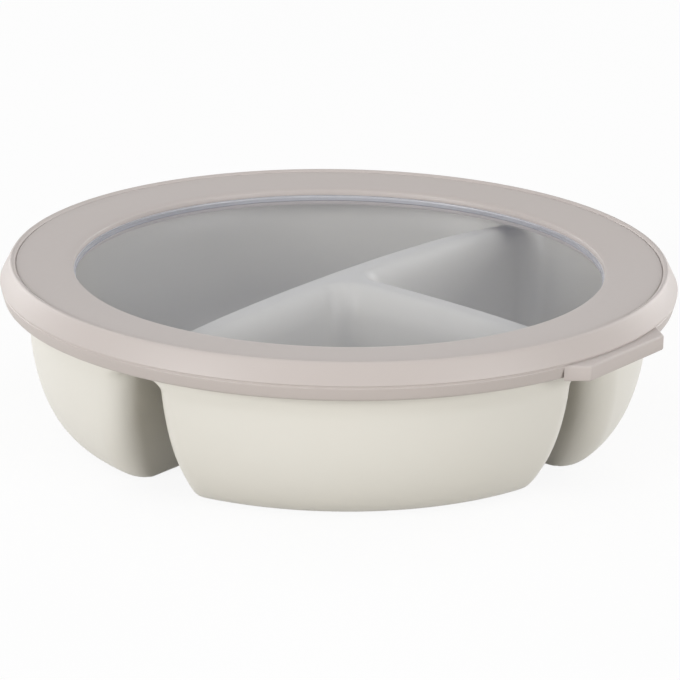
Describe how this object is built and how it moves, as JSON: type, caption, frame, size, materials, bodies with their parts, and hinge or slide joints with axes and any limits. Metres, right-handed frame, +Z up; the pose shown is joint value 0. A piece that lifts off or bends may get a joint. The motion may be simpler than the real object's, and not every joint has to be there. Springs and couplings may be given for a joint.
{
  "type": "divided lunch bowl with lid",
  "caption": "Round shallow lunch bowl with compartments split by hollow dividers, closed by a lift-off lid that has a soft ring, a pull tab and a translucent window.",
  "frame": {"origin": "on the resting surface, below the bowl's centre", "axes": "+Z up through the lid; +X along the cross divider, towards the pull tab; the long divider runs along Y"},
  "size_m": [0.2066, 0.2038, 0.0521],
  "materials": {
    "bowl_shell": "matte off-white, fine satin grain",
    "lid_ring": "soft matte, pale blush taupe",
    "lid_window": "smooth, translucent, lightly hazed"
  },
  "bodies": {
    "bowl": {"bowl": "bowl_shell"},
    "lid": {"lid_ring": "lid_ring", "lid_window": "lid_window"}
  },
  "joints": [
    {"name": "lid_lift", "type": "slide", "parent": "bowl", "child": "lid", "axis": [0, 0, 1], "range_m": [0, 0.06]}
  ]
}
